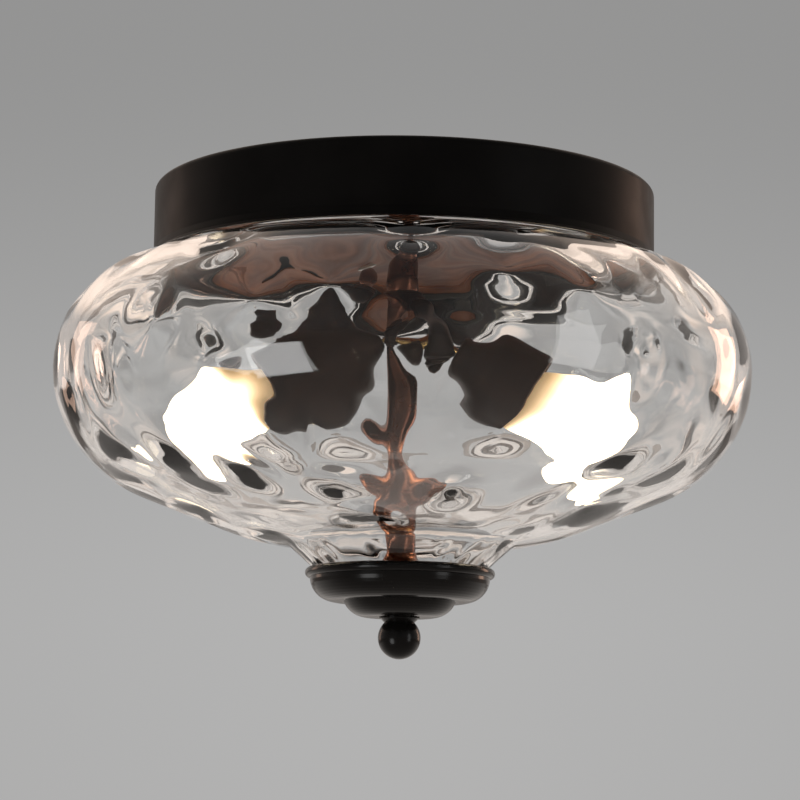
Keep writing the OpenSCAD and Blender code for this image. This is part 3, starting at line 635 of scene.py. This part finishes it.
def hammered_tree():
    tree, given = new_tree("hammered_bowl", BOWL_INPUTS)
    sizes = [given[label] for label in ("Around", "Rows", "Outer Rows", "Outer Share")]
    wall = double_wall(tree, given["Geometry"], *sizes)
    outer = read(
        add(tree, "GeometryNodeInputNamedAttribute", {"Name": "outer"}, data_type="FLOAT"),
        "Attribute",
    )
    inner = outer.rest()
    seed = given["Seed"]
    main = Dishes(tree, wall, outer, given["Spacing"], seed)
    inside = Dishes(tree, wall, inner, given["Ripple Spacing"], seed + 1.0)
    dents = Dishes(tree, wall, outer, given["Dent Spacing"], seed + 2.0)
    broad = main.depth(given["Spacing"] * given["Reach"], given["Dish"], shallow=0.65, salt=10.0)
    eyes = main.depth(given["Eye Reach"], given["Eye"], shallow=0.2, salt=20.0)
    ripple_reach = given["Ripple Spacing"] * given["Reach"]
    ripple = inside.depth(ripple_reach, given["Ripple"], shallow=0.3, salt=30.0)
    dent_reach = given["Dent Spacing"] * given["Dent Reach"]
    small = dents.depth(dent_reach, given["Dent"], shallow=0.3, salt=40.0)

    place = read(add(tree, "GeometryNodeInputPosition"))
    height = place.axis("Z")
    off_axis = vector_maths(tree, "MULTIPLY", place, (1.0, 1.0, 0.0))
    body = vector_maths(tree, "LENGTH", off_axis, out="Value").ramp(*NECK_TO_BODY)
    boost = height.ramp(*BODY_TO_SHOULDER, 1.0, SHOULDER_BOOST)
    outside = (broad * boost + eyes) * body + small * (body.rest() + DENTS_ON_BODY)
    within = (ripple - given["Thicker"]) * body
    ends = height.ramp(*RIM_TO_BODY) * height.ramp(*TAIL_TO_NECK)
    depth = {"Value": (outer * outside + inner * within) * ends, "Iterations": 2}
    soft = read(add(tree, "GeometryNodeBlurAttribute", depth, data_type="FLOAT"))
    inward = scaled(tree, read(add(tree, "GeometryNodeInputNormal")), soft * -1.0)
    pressed = read(add(tree, "GeometryNodeSetPosition", {"Geometry": wall, "Offset": inward}))
    end_tree(tree, pressed, FINISHES["clear_glass"])
    return tree


# %% Make the hammered bowl
chain = [(r, 0, z) for r, z in outer_line + inner_line]
total = length_of(outer_line + inner_line + outer_line[:1])
share_of_outer = {"Outer Share": length_of(outer_line) / total}
glass_bowl = grow("hammered_glass_bowl", hammered_tree(), share_of_outer, chain)
stand_for(glass_bowl, "glass_bowl")

# %% [markdown]
# Screw threads are what a plain tube lacks most. A thread is one ridge that climbs by its pitch at
# each turn, so its radius at any place follows from the height and the angle round the axis. A tree
# wraps a grid round the axis, as for the bowl, and lets that one formula set the radius. The same
# tree cuts the fine thread of the pipes and the round thread of a lamp's screw base.

# %% The tree for any threaded tube
TUBE_INPUTS = {
    "Radius": 5 * MM, "Bore": 3.9 * MM, "Low": 0.0, "High": 20 * MM, "Pitch": 1 * MM,
    "Ridge": 0.55 * MM, "Sharp": 1.0, "Around": 33, "Rows": 100, "Lead": 0.6 * MM,
}


def threaded_tree(material):
    """A threaded tube. The grid's first row and last two are the bore, those between the thread."""
    tree, given = new_tree("threaded_tube_" + material.name, TUBE_INPUTS)
    grid, turn, along = unit_grid(tree, given["Around"], given["Rows"])
    row = along * (given["Rows"] - 1.0)
    last = given["Rows"] - 3.0
    share = ((row - 1.0) / (last - 1.0)).clamped()
    height = given["Low"] + (given["High"] - given["Low"]) * share
    phase = (height / given["Pitch"] - turn / math.tau + 1.0).maths("FRACT")
    valley = (phase - 0.5).maths("ABSOLUTE") * 2.0
    rounded = (valley * math.pi).maths("COSINE") * -0.5 + 0.5
    cut = valley * given["Sharp"] + rounded * given["Sharp"].rest()
    from_low = (height - given["Low"]) / given["Lead"]
    from_high = (given["High"] - height) / given["Lead"]
    lead = from_low.maths("MINIMUM", from_high).clamped()
    outside = given["Radius"] - given["Ridge"] * (cut * lead + lead.rest())
    is_outside = row.maths("GREATER_THAN", 0.5) * row.maths("LESS_THAN", last + 0.5)
    radius = given["Bore"] + (outside - given["Bore"]) * is_outside
    level = height + (given["Low"] - given["High"]) * row.maths("GREATER_THAN", last + 1.5)
    end_tree(tree, wrap(tree, grid, turn, radius, level, weld=0.01 * MM), material)
    return tree


# %% Cut the thread of the pipes
ROWS_PER_TURN = 6
pipe_tree = threaded_tree(FINISHES["brass"])
for node in ("rod", "upper_nipple"):
    low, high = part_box(node)
    rows = int((high.z - low.z) / TUBE_INPUTS["Pitch"] * ROWS_PER_TURN)
    sizes = {"Low": low.z, "High": high.z, "Radius": high.x, "Rows": rows}
    stand_for(grow("threaded_" + node, pipe_tree, sizes), node)

# %% Roll the thread of the screw bases
LAMP_SIDES = {"left": -1, "right": 1}
BASE_SIZES = {
    "Low": 41.6 * MM, "High": 63.5 * MM, "Radius": 13.1 * MM, "Bore": 11.3 * MM,
    "Pitch": 3.63 * MM, "Ridge": 0.85 * MM, "Sharp": 0.15, "Lead": 1.6 * MM,
    "Around": 73, "Rows": 72,
}


def lamp_axis(side):
    """Turns a piece that stands on the Z axis onto a lamp's axis."""
    tilt = Matrix.Rotation(side * (QUARTER + LAMP_TILT), 4, "Y")
    return Matrix.Translation((0, 0, LAMP_Z)) @ tilt


base_tree = threaded_tree(FINISHES["nickel"])
for label, side in LAMP_SIDES.items():
    base = grow("screw_base_" + label, base_tree, BASE_SIZES)
    base.data.transform(lamp_axis(side))
    stand_for(base, "bulb_base_" + label)

# %% [markdown]
# Stamped and moulded pieces never have knife edges: the tool leaves a small round where two faces
# meet, and that round catches the light. The construction draws those edges sharp. Its meshes are
# also loose triangles, so each copy is merged into one skin and cleared of the lines across its
# flat faces first. Then a Bevel modifier can find the real edges and round them.

# %% Merged copies of construction pieces
SAME_PLACE = 0.002 * MM
SAME_PLANE = math.radians(0.5)


def merged_copy(node, prefix):
    """A copy of a construction piece whose triangles share their corners."""
    mesh = frame["nodes"][node].data.copy()
    work = bmesh.new()
    work.from_mesh(mesh)
    bmesh.ops.remove_doubles(work, verts=work.verts, dist=SAME_PLACE)
    work.to_mesh(mesh)
    work.free()
    piece = bpy.data.objects.new(prefix + node, mesh)
    scene.collection.objects.link(piece)
    return piece


def join_flats(piece):
    """Joins triangles that lie in one plane."""
    work = bmesh.new()
    work.from_mesh(piece.data)
    flats = {"verts": work.verts, "edges": work.edges}
    bmesh.ops.dissolve_limit(work, angle_limit=SAME_PLANE, **flats)
    work.to_mesh(piece.data)
    work.free()


# %% Round off the stamped and moulded pieces
ROUNDS = {
    "mounting_bar": 0.35 * MM,
    "terminal_block": 0.4 * MM,
    "hex_nuts": 0.25 * MM,
    "tray_spacer": 0.2 * MM,
    "hub_cap": 0.3 * MM,
    "foot_nut": 0.3 * MM,
    "finial_washer": 0.2 * MM,
    "rim_gasket": 0.4 * MM,
    "tail_gasket": 0.4 * MM,
    "upper_sleeve": 0.3 * MM,
    "rod_sleeve": 0.3 * MM,
}
for node, width in ROUNDS.items():
    piece = merged_copy(node, "rounded_")
    join_flats(piece)
    bevel = piece.modifiers.new("edges", "BEVEL")
    bevel.width = width
    bevel.segments = 2
    bevel.limit_method = "ANGLE"
    bevel.angle_limit = math.radians(40)
    bevel.harden_normals = True
    keep_as_mesh(piece)
    tell(piece)
    stand_for(piece, node)

# %% [markdown]
# An insulated wire is a soft round tube. The construction gives its tubes few sides, which is
# enough to route them. One level of subdivision makes the merged skin round, and the wires keep
# their path.

# %% Make the wires round
for node in ("earth_wire", "live_wires", "neutral_wires"):
    wire = merged_copy(node, "soft_")
    soften = wire.modifiers.new("round", "SUBSURF")
    soften.levels = soften.render_levels = 1
    keep_as_mesh(wire)
    wire.data.shade_smooth()
    tell(wire)
    stand_for(wire, node)

# %% [markdown]
# The light hangs in a plain pale studio. Glass shows nothing but what lies round it, so the studio
# is made for the glass: a grey glow behind, a brighter warm band above it and beyond its sides, and
# a dimmer front. A wide floor lies far below and is washed with light behind the light fitting, and
# soft lamps stand to both sides.

# %% The floor
FLOOR_Z = -2.4
FLOOR_REACH = 60.0
PALE_GREY = (0.5, 0.5, 0.5)
PALER_GREY = (0.53, 0.53, 0.53)

square = ((-1, -1), (1, -1), (1, 1), (-1, 1))
corners = [(x * FLOOR_REACH, y * FLOOR_REACH, FLOOR_Z) for x, y in square]
floor_mesh = bpy.data.meshes.new("floor")
floor_mesh.from_pydata(corners, [], [(0, 1, 2, 3)])
add_finish("floor", PALE_GREY, PALER_GREY, clouds=2, rough=(0.7, 0.8), grain=40, depth=0.2 * MM)
floor_mesh.materials.append(FINISHES["floor"])
floor = bpy.data.objects.new("floor", floor_mesh)
scene.collection.objects.link(floor)
floor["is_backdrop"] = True
print("floor:", 2 * FLOOR_REACH, "m wide")

# %% The glow all round
BACK_GLOW = 0.42
FRONT_SHARE = 0.42
UPPER_SHARE = 0.7
POOL_GLOW = 0.03
FLANK_GLOW = 0.2
BAND_GLOW = 0.6
NEUTRAL = (1.0, 0.995, 0.99, 1)
WARM = (1.0, 0.82, 0.7, 1)
# Where each glow starts and where it is full, as the X, Y or Z of a direction of length one
FRONT_TO_BACK = (-0.5, 0.5)
POOL_ASIDE = (0.22, 0.0)
POOL_FLOOR = (-0.2, 0.08)
POOL_ROOF = (0.42, 0.1)
UPPER_TO_LOWER = (0.28, 0.06)
BAND_FLOOR = (0.29, 0.42)
BAND_ROOF = (0.95, 0.72)
BAND_AHEAD = (0.0, 0.5)
FLANK_ASIDE = (0.15, 0.35)


def studio_world():
    """Sets how bright and how warm the world is in each direction."""
    world = bpy.data.worlds.new("studio")
    scene.world = world
    world.use_nodes = True
    tree = world.node_tree
    way = read(add(tree, "ShaderNodeTexCoord"), "Generated")
    up = way.axis("Z")
    aside = way.axis("X").maths("ABSOLUTE")
    ahead = way.axis("Y").ramp(*FRONT_TO_BACK, FRONT_SHARE, 1.0)
    pool = aside.ramp(*POOL_ASIDE) * up.ramp(*POOL_FLOOR) * up.ramp(*POOL_ROOF)
    horizon = (pool * POOL_GLOW + BACK_GLOW) * up.ramp(*UPPER_TO_LOWER, UPPER_SHARE, 1.0) * ahead
    band = up.ramp(*BAND_FLOOR) * up.ramp(*BAND_ROOF) * way.axis("Y").ramp(*BAND_AHEAD)
    flank = aside.ramp(*FLANK_ASIDE) * ahead
    shade = horizon + flank * FLANK_GLOW + band * BAND_GLOW
    tint = mix_colours(tree, band * 0.9 + flank * 0.5, NEUTRAL, WARM)
    background = tree.nodes["Background"]
    tree.links.new(tint.socket, background.inputs["Color"])
    tree.links.new(shade.socket, background.inputs["Strength"])
    print("world:", len(tree.nodes), "nodes")


studio_world()

# %% The lamps
CENTRE = (0, 0, -0.09)
WASHED = (0, 9, FLOOR_Z)
PLAIN = (1, 1, 1)


def aimed(place, target):
    """Stands something at a place so that its -Z side faces the target."""
    way = Vector(target) - Vector(place)
    return Matrix.Translation(place) @ way.to_track_quat("-Z", "Y").to_matrix().to_4x4()


def soft_lamp(name, place, target, size, power, colour):
    light = bpy.data.lights.new(name, "AREA")
    light.shape = "RECTANGLE"
    light.size, light.size_y = size
    light.energy = power
    light.color = colour
    lamp = bpy.data.objects.new(name, light)
    scene.collection.objects.link(lamp)
    lamp.matrix_world = aimed(place, target)
    print(name, power, "W")


soft_lamp("key", (-1.3, -1.5, -0.9), CENTRE, (0.7, 0.9), 8, PLAIN)
soft_lamp("fill", (1.6, -1.1, -0.2), CENTRE, (0.5, 1.2), 4, PLAIN)
soft_lamp("back_left", (-1.5, 1.1, 0.1), CENTRE, (0.4, 0.8), 2, (1.0, 0.66, 0.5))
soft_lamp("back_right", (1.5, 1.1, 0.1), CENTRE, (0.4, 0.8), 4, (1.0, 0.6, 0.42))
soft_lamp("floor_wash", (0, 9, -0.6), WASHED, (20, 16), 900, (1.0, 0.95, 0.9))

# %% [markdown]
# The camera stands 1.2 m in front of the light and looks up at it. Its lens and place were worked
# out from the outline of the canopy and the bowl, and it leans by under a degree.

# %% Camera
CAMERA_PLACE = (-0.0009, -1.1865, -0.2700)
CAMERA_TARGET = (-0.0009, 0, -0.0904)
CAMERA_LEAN = math.radians(0.7)
camera_data = bpy.data.cameras.new("camera")
camera_data.lens = 125.6
camera_data.sensor_width = 36
camera = bpy.data.objects.new("camera", camera_data)
scene.collection.objects.link(camera)
lean = Matrix.Rotation(CAMERA_LEAN, 4, "Z")
camera.matrix_world = aimed(CAMERA_PLACE, CAMERA_TARGET) @ lean
scene.camera = camera
scene.view_settings.view_transform = "Standard"
print("camera:", camera_data.lens, "mm lens")

# %% Keep both boxes, and close the lesson
sizes = {
    "cad": [list(corner) for corner in cad_box],
    "visual": [list(corner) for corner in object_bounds()],
}
print("sizes:", sizes)
